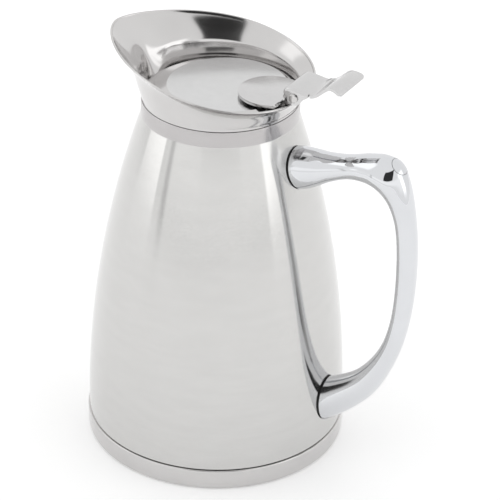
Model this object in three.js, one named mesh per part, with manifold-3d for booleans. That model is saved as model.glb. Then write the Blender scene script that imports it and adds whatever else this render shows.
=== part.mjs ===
// Insulated milk server: a double-walled steel jug with a flared pouring collar, a hinged lid
// worked by a thumb lever, and a cast handle that is screwed to a boss on the shell.
// Millimetres, +Z up. The origin is the centre of the base, +X points at the handle and -X at the
// spout, and the lid turns about a pin that lies along Y.
import * as THREE from "three";
import { mergeVertices } from "three/addons/utils/BufferGeometryUtils.js";
import Module from "manifold-3d";

// Sheet metal and clearances
const sheet = 1;
const seatGap = 0.3;
const pressGap = 0.2;

// Base cap: a drawn cup that closes the foot of the jug, with an upstand inside the shell
const baseRadius = 55.6;
const baseHeight = 9.4;
const baseEdgeRadius = 2.5;
const baseShoulderRadius = 0.9;
const baseUpstand = 5.6;
const baseSeam = 0.5;
const beadRadius = 31;
const beadWidth = 5;
const beadDepth = 0.8;

// Outer shell: one long arc, upright at its foot, and an upright neck band
const shellRadius = 55;
const curveStart = 13.6;
const neckStart = 150.4;
const neckRadius = 32.7;
const neckHeight = 6.8;

// Vacuum space, liner and the jacket's own bottom
const vacuumGap = 4.5;
const linerWall = 0.9;
const linerCorner = 12;
const linerDome = 3;
const linerLipWidth = 0.5;
const linerLipHeight = 0.5;
const jacketCrown = 2;
const jacketCorner = 2.2;
const jacketSkirt = 7;
const sealHoleRadius = 3;
const sealFlangeRadius = 6;
const sealFlangeHeight = 1.3;
const getterRadius = 5;
const getterHeight = 2;
const getterOffset = 14;

// Pouring collar: its rim is an egg in plan, low over the handle and high at the spout
const collarInset = 0.3;
const spigotDepth = 7;
const spigotWall = 0.8;
const ledgeWidth = 3;
const rimBackFlare = 5.9;
const rimSideFlare = 6;
const spoutFlare = 18.1;
const rimBackRise = 8.7;
const rimSideRise = 15.6;
const spoutRise = 21.5;
const rimBackRound = 22.1;
const rimSideRound = 27;
const spoutRound = 11.5;
const rimSideSlope = 0.18;

// Lid: a bevelled plate over a filled pan, set a little towards the hinge, its flat more so
const lidOffset = 1;
const lidPlay = 0.15;
const lidWall = 1.2;
const lidFlatRadius = 24.9;
const lidFlatShift = 2.2;
const lidBevelWidth = 3.5;
const lidBevelDrop = 2;
const panPlay = 0.8;
const panDepth = 6;
const panDraft = 2;
const panSheet = 0.8;

// Hinge
const pinRadius = 1.2;
const pinPlay = 0.1;
const pinHeadRadius = 1.9;
const pinHeadHeight = 0.8;
const knuckleRadius = 2.4;
const knuckleHalf = 7.8;
const knuckleRise = 1.3;
const pinSetback = 0.4;
const tangDrop = 5.3;

// Thumb lever: one stamping with a round pad, a neck, two ears and a curled thumb bar
const leverSheet = 1.2;
const padRadius = 13.6;
const padSetback = 15.1;
const padLift = 1.2;
const padBend = 8.2;
const padCut = 6.4;
const standoffRadius = 6;
const neckHalf = 6.2;
const earRadius = 3.2;
const earFront = 4.4;
const earBack = 6.2;
const valleyReach = 7;
const valleyDrop = 0.9;
const thumbReach = 20.8;
const thumbRise = 4.9;
const thumbHalf = 10.6;

// Handle: a casting that stands square to the shell at the top and runs into it at the foot
const armHeight = 134.9;
const armEndRadius = 9.2;
const armWaist = 5.3;
const elbowReach = 24;
const elbowRadius = 14.7;
const cornerReach = 39.8;
const cornerDrop = 5;
const cornerRadius = 9.6;
const cornerWidth = 6.7;
const gripReach = 88.3;
const gripHeight = 101;
const gripDepth = 4.1;
const gripWidth = 5.5;
const gripBow = 1.8;
const gripUpper = 22;
const gripLower = 25;
const footHeight = 29.5;
const footDepth = 9.7;
const footWidth = 8.3;
const gasketThickness = 0.4;

// Handle fasteners
const screwRadius = 2;
const screwHeadRadius = 3.4;
const screwHeadHeight = 4;
const screwSeat = 31;
const screwPlay = 0.3;
const hexSocketRadius = 1.7;
const hexSocketDepth = 2.2;
const washerHeight = 0.9;
const plugRadius = 4.2;
const plugSeat = 40.5;
const bossRadius = 4.5;
const bossLength = 9;
const lugRadius = 3.6;
const lugLength = 8;

// Facets
const turns = 32;
const smallTurns = 20;
const wallSteps = 9;
const linerSteps = 6;
const roundSteps = 3;
const bendSteps = 7;
const collarStations = 20;
const flareSteps = 6;
const handleSides = 16;
const handleSteps = 34;

const wasm = await Module();
wasm.setup();

// Finishes
const finishes = {
  satinSteel: { color: 0xd2d3d4, roughness: 0.32, metalness: 1 },
  polishedSteel: { color: 0xdcdcdc, roughness: 0.12, metalness: 1 },
  plainSteel: { color: 0xa9aaac, roughness: 0.45, metalness: 1 },
  chrome: { color: 0xe4e5e8, roughness: 0.04, metalness: 1 },
  blackRubber: { color: 0x1b1b1d, roughness: 0.7, metalness: 0 },
  paleFoam: { color: 0xd8d7d2, roughness: 0.8, metalness: 0 },
};

// Geometry with shared vertices and no collapsed triangles
function weld(geometry) {
  geometry.deleteAttribute("normal");
  geometry.deleteAttribute("uv");
  const merged = mergeVertices(geometry, 1e-4);
  const corners = merged.index.array;
  const kept = [];
  for (let i = 0; i < corners.length; i += 3) {
    const [a, b, c] = corners.slice(i, i + 3);
    if (a !== b && b !== c && c !== a) {
      kept.push(a, b, c);
    }
  }
  merged.setIndex(kept);
  return merged;
}

// A closed geometry as a solid whose faces point outwards
function solidOf(geometry) {
  const welded = weld(geometry);
  const vertProperties = new Float32Array(welded.attributes.position.array);
  const triVerts = new Uint32Array(welded.index.array);
  const made = new wasm.Manifold(new wasm.Mesh({ numProp: 3, vertProperties, triVerts }));
  if (made.volume() > 0) {
    return made;
  }
  triVerts.reverse();
  return new wasm.Manifold(new wasm.Mesh({ numProp: 3, vertProperties, triVerts }));
}

function geometryOf(solid) {
  const { vertProperties, triVerts } = solid.getMesh();
  const geometry = new THREE.BufferGeometry();
  geometry.setAttribute("position", new THREE.BufferAttribute(vertProperties, 3));
  geometry.setIndex(new THREE.BufferAttribute(triVerts, 1));
  geometry.computeVertexNormals();
  return geometry;
}

function part(name, solid, finish) {
  const mesh = new THREE.Mesh(geometryOf(solid), new THREE.MeshStandardMaterial(finishes[finish]));
  mesh.name = name;
  return mesh;
}

// A profile of [radius, height] points turned about Z, with both its ends on the axis
function revolve(profile, segments = turns) {
  const points = profile.map(([r, z]) => new THREE.Vector2(r, z));
  return new THREE.LatheGeometry(points, segments).rotateX(Math.PI / 2);
}

// The same for a profile that closes on itself clear of the axis
function ring(profile, segments = turns) {
  return revolve([...profile, profile[0]], segments);
}

// An [x, z] outline pushed out to both sides of the XZ plane
function extrudeAcross(outline, half) {
  const shape = new THREE.Shape(outline.map(([x, z]) => new THREE.Vector2(x, z)));
  const geometry = new THREE.ExtrudeGeometry(shape, { depth: 2 * half, bevelEnabled: false });
  return solidOf(geometry.translate(0, 0, -half).rotateX(Math.PI / 2));
}

// A rod along Y through [x, z]
function crossRod(x, z, radius, half) {
  return solidOf(new THREE.CylinderGeometry(radius, radius, 2 * half, smallTurns).translate(x, 0, z));
}

// A rod along +X of a frame, between two stations
function rodAlong(frame, radius, from, to) {
  const rod = new THREE.CylinderGeometry(radius, radius, to - from, smallTurns);
  return solidOf(rod.rotateZ(Math.PI / 2).translate((from + to) / 2, 0, 0).applyMatrix4(frame));
}

function arc(x, y, radius, fromDegrees, toDegrees, steps = roundSteps) {
  const from = THREE.MathUtils.degToRad(fromDegrees);
  const to = THREE.MathUtils.degToRad(toDegrees);
  const curve = new THREE.EllipseCurve(x, y, radius, radius, from, to, to < from);
  return curve.getPoints(steps).map((p) => [p.x, p.y]);
}

// A shallow dome in [radius, height] that is level on the axis, short of its outer edge
function dome(fromRadius, toRadius, edgeHeight, rise) {
  const points = [];
  for (let i = 0; i < roundSteps; i += 1) {
    const r = fromRadius + ((toRadius - fromRadius) * i) / roundSteps;
    points.push([r, edgeHeight + rise * (1 - (r / toRadius) ** 2)]);
  }
  return points;
}

// The body's long arc: upright where it starts, at the neck's radius where it ends
const neckTop = neckStart + neckHeight;
const shellFoot = baseHeight + baseSeam;
const wallSweep = 2 * Math.atan((shellRadius - neckRadius) / (neckStart - curveStart));
const wallArc = (neckStart - curveStart) / Math.sin(wallSweep);
const wallCentre = shellRadius - wallArc;

function wallAngle(z) {
  return Math.asin(Math.max(0, z - curveStart) / wallArc);
}

function wallRadius(z) {
  return wallCentre + wallArc * Math.cos(wallAngle(z));
}

// The wall's skin, moved outwards by an offset, between two angles of its arc
function wallLine(offset, from = 0, to = wallSweep, steps = wallSteps) {
  const { radToDeg } = THREE.MathUtils;
  return arc(wallCentre, curveStart, wallArc + offset, radToDeg(from), radToDeg(to), steps);
}

// A plain block with the body's outside shape and a cone round the collar, to trim what stands on the shell
function bodyBlank(offset) {
  const profile = [
    [0, shellFoot],
    [shellRadius + offset, shellFoot],
    ...wallLine(offset),
    [neckRadius + offset, neckTop],
    [neckRadius + spoutFlare + offset, neckTop + spoutRise],
    [0, neckTop + spoutRise],
  ];
  return solidOf(revolve(profile));
}

// Base cap: flat underneath, with a stiffening bead pressed up into its floor
const upstandRadius = shellRadius - sheet - seatGap;
const upstandTop = baseHeight + baseUpstand;

function baseCap() {
  const beadIn = beadRadius - beadWidth / 2;
  const beadOut = beadRadius + beadWidth / 2;
  const shoulder = baseRadius - baseShoulderRadius;
  const wallInside = baseRadius - sheet;
  const outside = [
    [0, 0],
    [beadIn - beadDepth, 0],
    [beadIn, beadDepth],
    [beadOut, beadDepth],
    [beadOut + beadDepth, 0],
    ...arc(baseRadius - baseEdgeRadius, baseEdgeRadius, baseEdgeRadius, -90, 0),
    ...arc(shoulder, baseHeight - baseShoulderRadius, baseShoulderRadius, 0, 90),
    [upstandRadius, baseHeight],
    [upstandRadius, upstandTop],
  ];
  const inside = [
    [upstandRadius - sheet, upstandTop],
    [upstandRadius - sheet, baseHeight - sheet],
    [wallInside - baseShoulderRadius, baseHeight - sheet],
    [wallInside, baseHeight - sheet - baseShoulderRadius],
    ...arc(baseRadius - baseEdgeRadius, baseEdgeRadius, baseEdgeRadius - sheet, 0, -90),
    [beadOut + beadDepth, sheet],
    [beadOut, beadDepth + sheet],
    [beadIn, beadDepth + sheet],
    [beadIn - beadDepth, sheet],
    [0, sheet],
  ];
  return solidOf(revolve([...outside, ...inside]));
}

// Outer shell: its lower edge is rolled over the base cap, and its neck is open
function outerShell() {
  const profile = [
    ...arc(shellRadius - sheet, shellFoot + sheet, sheet, -90, 0),
    ...wallLine(0),
    [neckRadius, neckTop],
    [neckRadius - sheet, neckTop],
    ...wallLine(-sheet).reverse(),
  ];
  return solidOf(ring(profile));
}

// Jacket bottom: the pressed dish that closes the vacuum space, with its evacuation hole
const jacketFloor = upstandTop + seatGap;
const jacketDomeRadius = upstandRadius - jacketCorner;
const jacketTop = jacketFloor + jacketCrown + sheet;

function jacketBottom() {
  const corner = jacketFloor + jacketCorner;
  const skirt = jacketFloor + jacketSkirt;
  const profile = [
    ...dome(sealHoleRadius, jacketDomeRadius, jacketFloor, jacketCrown),
    ...arc(jacketDomeRadius, corner, jacketCorner, -90, 0),
    [upstandRadius, skirt],
    [upstandRadius - sheet, skirt],
    ...arc(jacketDomeRadius, corner, jacketCorner - sheet, 0, -90),
    ...dome(sealHoleRadius, jacketDomeRadius, jacketFloor + sheet, jacketCrown).reverse(),
  ];
  return solidOf(ring(profile));
}

// Vacuum seal plug: the headed plug brazed into the evacuation hole
function vacuumSealPlug() {
  const shank = sealHoleRadius - pressGap;
  const domeFall = jacketCrown * (sealFlangeRadius / jacketDomeRadius) ** 2;
  const head = jacketFloor + jacketCrown - domeFall - pressGap;
  const profile = [
    [0, head - sealFlangeHeight],
    [sealFlangeRadius, head - sealFlangeHeight],
    [sealFlangeRadius, head],
    [shank, head],
    [shank, jacketTop],
    [0, jacketTop],
  ];
  return solidOf(revolve(profile, smallTurns));
}

// Getter: the gas-absorbing pellet on the jacket bottom, in the vacuum space
function getter() {
  const pellet = new THREE.CylinderGeometry(getterRadius, getterRadius, getterHeight, smallTurns);
  pellet.rotateX(Math.PI / 2);
  return solidOf(pellet.translate(getterOffset, 0, jacketTop + getterHeight / 2));
}

// Inner liner: keeps the vacuum's width from the shell, then runs up as a straight neck with a lip
const linerNeck = neckRadius - sheet - seatGap;
const linerFloor = jacketTop + vacuumGap;
const lipBottom = neckTop + pressGap;
const lipTop = lipBottom + linerLipHeight;

function linerLine(inset) {
  const offset = -(sheet + vacuumGap + inset);
  const start = Math.asin((linerFloor + linerCorner - curveStart) / (wallArc + offset));
  const end = Math.acos((linerNeck - inset - wallCentre) / (wallArc + offset));
  const wall = wallLine(offset, start, end, linerSteps);
  const cornerX = wall[0][0] - linerCorner + inset;
  const corner = arc(cornerX, linerFloor + linerCorner, linerCorner - inset, -90, -15);
  return [...dome(0, cornerX, linerFloor + inset, linerDome), ...corner, ...wall];
}

function innerLiner() {
  const neck = [
    [linerNeck, lipBottom],
    [linerNeck + linerLipWidth, lipBottom],
    [linerNeck + linerLipWidth, lipTop],
    [linerNeck - linerWall, lipTop],
  ];
  return solidOf(revolve([...linerLine(0), ...neck, ...linerLine(linerWall).reverse()]));
}

// Collar rim: cubic curves, mirrored about XZ, from the back round the side to the spout's tip
const collarRadius = neckRadius - collarInset;
const collarFoot = lipTop + pressGap;
const collarSpigot = linerNeck - linerWall - seatGap;
const ledge = collarFoot + sheet;
const ledgeOutside = collarRadius - sheet;
const ledgeInside = ledgeOutside - ledgeWidth;
const rimBack = new THREE.Vector3(collarRadius + rimBackFlare, 0, collarFoot + rimBackRise);
const rimSide = new THREE.Vector3(0, collarRadius + rimSideFlare, collarFoot + rimSideRise);
const spoutTip = new THREE.Vector3(-collarRadius - spoutFlare, 0, collarFoot + spoutRise);

const rimBackCurve = new THREE.CubicBezierCurve3(
  rimBack,
  rimBack.clone().add(new THREE.Vector3(0, rimBackRound, 0)),
  rimSide.clone().add(new THREE.Vector3(rimBackRound, 0, -rimBackRound * rimSideSlope)),
  rimSide,
);
const rimFrontCurve = new THREE.CubicBezierCurve3(
  rimSide,
  rimSide.clone().add(new THREE.Vector3(-rimSideRound, 0, rimSideRound * rimSideSlope)),
  spoutTip.clone().add(new THREE.Vector3(0, spoutRound, 0)),
  spoutTip,
);

// The rim at a share of the way round, 0 and 1 at the back and 0.5 at the spout's tip
function rimAt(share) {
  const half = share <= 0.5 ? 4 * share : 4 * (1 - share);
  const point = half <= 1 ? rimBackCurve.getPoint(half) : rimFrontCurve.getPoint(half - 1);
  if (share > 0.5) {
    point.y = -point.y;
  }
  return point;
}

// A trumpet curve in [radius, height] from the collar's waist up to its rim
function flare(fromRadius, fromHeight, toRadius, toHeight) {
  const from = new THREE.Vector2(fromRadius, fromHeight);
  const to = new THREE.Vector2(toRadius, toHeight);
  const along = (out, up) => to.clone().sub(from).multiply(new THREE.Vector2(out, up)).add(from);
  const curve = new THREE.CubicBezierCurve(from, along(0.3, 0.35), along(0.3, 0.77), to);
  return curve.getPoints(flareSteps).map((p) => [p.x, p.y]);
}

// A turned shape whose section changes round the axis: sectionOf gives it for one point of the rim
function turnedByRim(sectionOf) {
  const sections = [];
  for (let i = 0; i <= 2 * collarStations; i += 1) {
    const rim = rimAt(i / (2 * collarStations));
    const angle = Math.atan2(rim.y, rim.x);
    sections.push({ angle, points: sectionOf(Math.hypot(rim.x, rim.y), rim.z) });
  }
  const first = sections[0].points.map(([r, z]) => new THREE.Vector2(r, z));
  const blank = new THREE.LatheGeometry(first, 2 * collarStations);
  const place = blank.attributes.position;
  sections.forEach(({ angle, points }, i) => {
    points.forEach(([r, z], j) => {
      place.setXYZ(i * points.length + j, r * Math.cos(angle), r * Math.sin(angle), z);
    });
  });
  return solidOf(blank);
}

function spoutCollar() {
  const spigotEnd = collarFoot - spigotDepth;
  const spigotInside = collarSpigot - spigotWall;
  return turnedByRim((radius, height) => {
    const edge = height - sheet / 2;
    const section = [
      ...flare(collarRadius, collarFoot, radius, edge),
      [radius - sheet / 2, height],
      ...flare(ledgeOutside, ledge, radius - sheet, edge).reverse(),
      [ledgeInside, ledge],
      [ledgeInside, collarFoot],
      [spigotInside, collarFoot],
      [spigotInside, spigotEnd],
      [collarSpigot, spigotEnd],
      [collarSpigot, collarFoot],
    ];
    return [...section, section[0]];
  });
}

// The space inside the collar, less an offset and carried up past the rim, to shape the hinge's tang
function collarSpace(offset) {
  return turnedByRim((radius, height) => {
    const wall = flare(ledgeOutside - offset, ledge, radius - sheet - offset, height);
    const top = height + knuckleRise + knuckleRadius;
    return [[0, ledge], ...wall, [radius - sheet - offset, top], [0, top]];
  });
}

// Lid plate: a flat top with a bevel and a short wall down to the flange on the collar's ledge
const lidRadius = ledgeOutside - lidOffset - lidPlay;
const lidFlange = ledge + seatGap;
const lidCrease = lidFlange + sheet + lidWall;
const lidTop = lidCrease + lidBevelDrop;
const lidWallRadius = lidFlatRadius + lidBevelWidth;

function lidPlate() {
  const plate = revolve([
    [0, lidTop - sheet],
    [lidFlatRadius - sheet / 2, lidTop - sheet],
    [lidWallRadius - sheet, lidCrease - sheet / 2],
    [lidWallRadius - sheet, lidFlange],
    [lidRadius, lidFlange],
    [lidRadius, lidFlange + sheet],
    [lidWallRadius, lidFlange + sheet],
    [lidWallRadius, lidCrease],
    [lidFlatRadius, lidTop],
    [0, lidTop],
  ]);
  const place = plate.attributes.position;
  for (let i = 0; i < place.count; i += 1) {
    if (place.getZ(i) > lidTop - 1.5 * sheet) {
      place.setX(i, place.getX(i) + lidFlatShift);
    }
  }
  return solidOf(plate.translate(lidOffset, 0, 0));
}

// Underpan: held inside the lid plate's wall, and hanging down into the collar's throat
const panRim = lidWallRadius - sheet - seatGap;
const panRadius = Math.min(panRim, ledgeInside - lidOffset - panPlay);
const panTop = lidCrease - sheet / 2 - seatGap;
const panFloor = ledge - panDepth;

function lidUnderpan() {
  const pan = revolve([
    [0, panFloor],
    [panRadius - panDraft, panFloor],
    [panRadius, ledge],
    [panRim, lidFlange + sheet / 2],
    [panRim, panTop],
    [panRim - panSheet, panTop],
    [panRim - panSheet, lidFlange + sheet / 2],
    [panRadius - panSheet, ledge],
    [panRadius - panDraft - panSheet, panFloor + panSheet],
    [0, panFloor + panSheet],
  ]);
  return solidOf(pan.translate(lidOffset, 0, 0));
}

function lidInsulation() {
  const bottom = panFloor + panSheet + pressGap;
  const top = lidTop - sheet - pressGap;
  const radius = panRadius - panSheet - seatGap;
  const filling = revolve([
    [0, bottom],
    [radius - panDraft, bottom],
    [radius, ledge],
    [radius, panTop],
    [Math.min(radius, lidFlatRadius - lidFlatShift - sheet - seatGap), top],
    [0, top],
  ]);
  return solidOf(filling.translate(lidOffset, 0, 0));
}

// Hinge axis and the heights of the lever's two levels, at the middle of its sheet
const pinX = rimBack.x + pinSetback;
const pinZ = rimBack.z + knuckleRise + knuckleRadius;
const pinHole = pinRadius + pinPlay;
const earInside = knuckleHalf + seatGap;
const earOutside = earInside + leverSheet;
const padX = pinX - padSetback;
const padMiddle = lidTop + padLift + leverSheet / 2;
const bridgeMiddle = pinZ + knuckleRadius + seatGap + leverSheet / 2;

function leverStandoff() {
  const spacer = new THREE.CylinderGeometry(standoffRadius, standoffRadius, padLift, smallTurns);
  spacer.rotateX(Math.PI / 2);
  return solidOf(spacer.translate(padX - standoffRadius / 2, 0, lidTop + padLift / 2));
}

// Hinge pin: headed at both ends, outside the lever's ears
function hingePin() {
  const inner = earOutside + pinPlay;
  const outer = inner + pinHeadHeight;
  const half = [
    [pinRadius, inner],
    [pinHeadRadius, inner],
    [pinHeadRadius, outer - pinHeadHeight / 2],
    [0.7 * pinHeadRadius, outer],
    [0, outer],
  ];
  const other = half.map(([r, z]) => [r, -z]).reverse();
  const pin = revolve([...other, ...half], smallTurns);
  return solidOf(pin.rotateX(Math.PI / 2).translate(pinX, 0, pinZ));
}

// Hinge bracket: a rolled knuckle with a tang that is welded inside the collar's back wall
function hingeBracket() {
  const foot = rimBack.z - tangDrop;
  const room = 2 * (rimBackFlare + knuckleRadius);
  const strip = extrudeAcross([[pinX - room, foot], [pinX, foot], [pinX, pinZ], [pinX - room, pinZ]], knuckleHalf);
  const tang = strip.intersect(collarSpace(seatGap)).subtract(collarSpace(seatGap + sheet));
  const knuckle = crossRod(pinX, pinZ, knuckleRadius, knuckleHalf);
  return tang.add(knuckle).subtract(crossRod(pinX, pinZ, pinHole, 2 * knuckleHalf));
}

// Side view of the thumb lever: pad, bend, bridge over the knuckle, valley and curled thumb bar
function leverLine() {
  const bendStart = pinX - padBend;
  const bendEnd = pinX - 0.6 * earFront;
  const half = (bendEnd - bendStart) / 2;
  const valleyX = pinX + valleyReach;
  const valleyZ = bridgeMiddle - valleyDrop;
  const crestX = pinX + 0.8 * thumbReach;
  const crestZ = bridgeMiddle + thumbRise;
  const endX = pinX + thumbReach;
  const endZ = bridgeMiddle + 0.62 * thumbRise;
  const line = new THREE.Path();
  line.moveTo(padX - padRadius - leverSheet, padMiddle);
  line.lineTo(bendStart, padMiddle);
  line.bezierCurveTo(bendStart + 1.1 * half, padMiddle, bendEnd - 1.1 * half, bridgeMiddle, bendEnd, bridgeMiddle);
  line.bezierCurveTo(pinX + 0.2 * valleyReach, bridgeMiddle, pinX + 0.5 * valleyReach, valleyZ, valleyX, valleyZ);
  line.bezierCurveTo(
    valleyX + 0.4 * (crestX - valleyX),
    valleyZ,
    valleyX + 0.68 * (crestX - valleyX),
    crestZ,
    crestX,
    crestZ,
  );
  line.bezierCurveTo(crestX + 0.5 * (endX - crestX), crestZ, endX - 0.1, 0.5 * (crestZ + endZ), endX, endZ);
  return line;
}

// A strip of sheet whose middle follows a path in the XZ plane
function sheetStrip(path, thickness) {
  const above = [];
  const below = [];
  path.curves.forEach((curve, order) => {
    const steps = curve.isLineCurve ? 1 : bendSteps;
    for (let i = order === 0 ? 0 : 1; i <= steps; i += 1) {
      const point = curve.getPoint(i / steps);
      const along = curve.getTangent(i / steps).multiplyScalar(thickness / 2);
      above.push([point.x - along.y, point.y + along.x]);
      below.push([point.x + along.y, point.y - along.x]);
    }
  });
  return [...below, ...above.reverse()];
}

// Plan of the thumb lever: a disc cut off towards the hinge, a notch each side, and the bar
function leverPlan() {
  const padEdge = pinX - padCut;
  const bridgeEdge = pinX - earFront;
  const notch = (bridgeEdge - padEdge) / 2;
  const discEnd = Math.acos(Math.min(0.9, (padEdge - 0.25 * padRadius - padX) / padRadius));
  const corner = [padEdge - 0.08 * padRadius, 0.87 * padRadius];
  const cornerEnd = [padEdge - 0.03 * padRadius, 0.68 * padRadius];
  const earEnd = pinX + earBack;
  const barEnd = pinX + thumbReach + leverSheet;
  const waist = earEnd + 0.55 * (barEnd - earEnd);
  const shape = new THREE.Shape();
  shape.absarc(padX, 0, padRadius, discEnd, 2 * Math.PI - discEnd, false);
  shape.quadraticCurveTo(corner[0], -corner[1], cornerEnd[0], -cornerEnd[1]);
  shape.lineTo(padEdge, -neckHalf - notch);
  shape.absarc(padEdge + notch, -neckHalf - notch, notch, Math.PI, 0, true);
  shape.lineTo(bridgeEdge, -earOutside);
  shape.lineTo(earEnd, -earOutside);
  shape.bezierCurveTo(waist, -earOutside, waist, -0.97 * earOutside, barEnd, -thumbHalf);
  shape.lineTo(barEnd, thumbHalf);
  shape.bezierCurveTo(waist, 0.97 * earOutside, waist, earOutside, earEnd, earOutside);
  shape.lineTo(bridgeEdge, earOutside);
  shape.lineTo(bridgeEdge, neckHalf + notch);
  shape.absarc(padEdge + notch, neckHalf + notch, notch, 0, Math.PI, true);
  shape.lineTo(cornerEnd[0], cornerEnd[1]);
  shape.quadraticCurveTo(corner[0], corner[1], padX + padRadius * Math.cos(discEnd), padRadius * Math.sin(discEnd));
  return shape;
}

// Angle, in degrees, at which a line from [x, z] touches a circle about the origin
function touchAngle(x, z, radius, side) {
  const turn = Math.atan2(z, x) + side * Math.acos(Math.min(1, radius / Math.hypot(x, z)));
  return THREE.MathUtils.radToDeg(turn);
}

function thumbLever() {
  const strip = extrudeAcross(sheetStrip(leverLine(), leverSheet), 2 * padRadius);
  const depth = bridgeMiddle + thumbRise + 4 * leverSheet - lidTop;
  const plan = new THREE.ExtrudeGeometry(leverPlan(), { depth, bevelEnabled: false, curveSegments: 10 });
  const plate = strip.intersect(solidOf(plan.translate(0, 0, lidTop)));
  const earTop = bridgeMiddle - 0.4 * leverSheet;
  const rise = earTop - pinZ;
  const from = touchAngle(-earFront, rise, earRadius, 1);
  const to = touchAngle(earBack, rise, earRadius, -1);
  const lobe = [
    ...arc(pinX, pinZ, earRadius, from, to + 360, 2 * roundSteps),
    [pinX + earBack, earTop],
    [pinX - earFront, earTop],
  ];
  const ears = extrudeAcross(lobe, earOutside).subtract(extrudeAcross(lobe, earInside));
  return plate.add(ears).subtract(crossRod(pinX, pinZ, pinHole, 2 * earOutside));
}

// Handle frames: +X along the upper arm, square to the shell, and +X level out of the shell below
const armSlope = wallAngle(armHeight);
const armFoot = new THREE.Vector3(wallRadius(armHeight), 0, armHeight);
const armFrame = new THREE.Matrix4().makeRotationY(-armSlope).setPosition(armFoot);
const footRadius = wallRadius(footHeight);
const footFrame = new THREE.Matrix4().makeTranslation(footRadius, 0, footHeight);

// Stations of the casting: its outer and inner edge in the handle's plane, and its half width
function handleStations() {
  const polar = (radius, degrees) => {
    const turn = THREE.MathUtils.degToRad(degrees);
    return [radius * Math.cos(turn), radius * Math.sin(turn)];
  };
  const inArm = (reach, rise) => new THREE.Vector3(reach, 0, rise).applyMatrix4(armFrame);
  const arm = (reach, share) => {
    const radius = armWaist + share * (armEndRadius - armWaist);
    return { outer: inArm(reach, radius), inner: inArm(reach, -radius), width: radius };
  };
  const onCorner = (degrees) => {
    const [out, up] = polar(cornerRadius, degrees);
    return inArm(cornerReach + out, up - cornerDrop);
  };
  const onElbow = (degrees) => {
    const [out, up] = polar(elbowRadius, degrees);
    return inArm(elbowReach + out, up - armWaist - elbowRadius);
  };
  const slice = (x, z, depth, leanDegrees, width) => {
    const [out, down] = polar(depth, leanDegrees);
    return { outer: new THREE.Vector3(x + out, 0, z - down), inner: new THREE.Vector3(x - out, 0, z + down), width };
  };
  const lowerX = gripReach - gripBow;
  const lowerZ = gripHeight - gripLower;
  const towardsFoot = (shareX, shareZ, swell, leanDegrees) => slice(
    footRadius + shareX * (lowerX - footRadius),
    footHeight + shareZ * (lowerZ - footHeight),
    gripDepth + swell * (footDepth - gripDepth),
    leanDegrees,
    gripWidth + swell * (footWidth - gripWidth),
  );
  return [
    arm(-3, 1),
    arm(0.13 * elbowReach, 0.93),
    arm(0.36 * elbowReach, 0.64),
    arm(0.62 * elbowReach, 0.25),
    arm(elbowReach, 0),
    { outer: inArm(0.85 * cornerReach, 1.06 * armWaist), inner: onElbow(60), width: 0.5 * (armWaist + cornerWidth) },
    { outer: onCorner(80), inner: onElbow(44), width: cornerWidth },
    { outer: onCorner(39), inner: onElbow(28), width: cornerWidth },
    { outer: onCorner(-11), inner: onElbow(10), width: 0.5 * (gripWidth + cornerWidth) },
    slice(gripReach - 0.9 * gripBow, gripHeight + gripUpper, 1.05 * gripDepth, -12, 1.03 * gripWidth),
    slice(gripReach, gripHeight, gripDepth, 0, gripWidth),
    slice(lowerX, lowerZ, 0.95 * gripDepth, 10, gripWidth),
    towardsFoot(0.85, 0.64, 0.05, 22),
    towardsFoot(0.56, 0.3, 0.37, 40),
    towardsFoot(0.23, 0.1, 0.68, 49),
    towardsFoot(-0.1, -0.04, 1, 62),
  ];
}

// The casting before it is bored: elliptical sections lofted between its two edges
function handleBlank() {
  const stations = handleStations();
  const outer = new THREE.CatmullRomCurve3(stations.map((s) => s.outer), false, "centripetal");
  const inner = new THREE.CatmullRomCurve3(stations.map((s) => s.inner), false, "centripetal");
  const widths = new THREE.SplineCurve(stations.map((s) => new THREE.Vector2(s.width, 0)));
  const loft = new THREE.CylinderGeometry(1, 1, 1, handleSides, handleSteps);
  const vertices = loft.attributes.position;
  for (let i = 0; i < vertices.count; i += 1) {
    const share = THREE.MathUtils.clamp(0.5 - vertices.getY(i), 0, 1);
    const point = inner.getPoint(share).lerp(outer.getPoint(share), 0.5 + 0.5 * vertices.getX(i));
    point.y = widths.getPoint(share).x * vertices.getZ(i);
    vertices.setXYZ(i, point.x, point.y, point.z);
  }
  return solidOf(loft);
}

const castBlank = handleBlank();
const farOut = cornerReach + 4 * cornerRadius;

// A block behind a station on a frame's X axis, to square off an end of the casting
function endBlock(frame, half, station) {
  const block = new THREE.BoxGeometry(2 * half, 2 * half, 2 * half);
  return solidOf(block.translate(station - half, 0, 0).applyMatrix4(frame));
}

function handle() {
  const joint = 2 * pressGap + gasketThickness;
  return castBlank
    .subtract(bodyBlank(joint))
    .subtract(endBlock(armFrame, 2 * armEndRadius, joint))
    .subtract(endBlock(footFrame, 2 * footDepth, joint))
    .subtract(rodAlong(armFrame, bossRadius + seatGap, 0, bossLength + seatGap))
    .subtract(rodAlong(armFrame, screwRadius + screwPlay, 0, farOut))
    .subtract(rodAlong(armFrame, screwHeadRadius + screwPlay, screwSeat, farOut))
    .subtract(rodAlong(armFrame, plugRadius + pressGap, plugSeat, farOut))
    .subtract(rodAlong(footFrame, lugRadius + seatGap, 0, lugLength + seatGap));
}

// Plug: fills the screw's way in, flush with the corner of the casting
function handlePlug() {
  return castBlank.intersect(rodAlong(armFrame, plugRadius, plugSeat + pressGap, farOut));
}

// Gasket: fills the wedge between the casting's flat end and the round shell, and has a hole in it
function gasket(frame, half, holeRadius) {
  const face = pressGap + gasketThickness;
  const end = castBlank.intersect(endBlock(frame, half, half));
  const wedge = end.intersect(endBlock(frame, half, face).add(bodyBlank(face)));
  return wedge.subtract(bodyBlank(pressGap)).subtract(rodAlong(frame, holeRadius + seatGap, -half, half));
}

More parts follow.
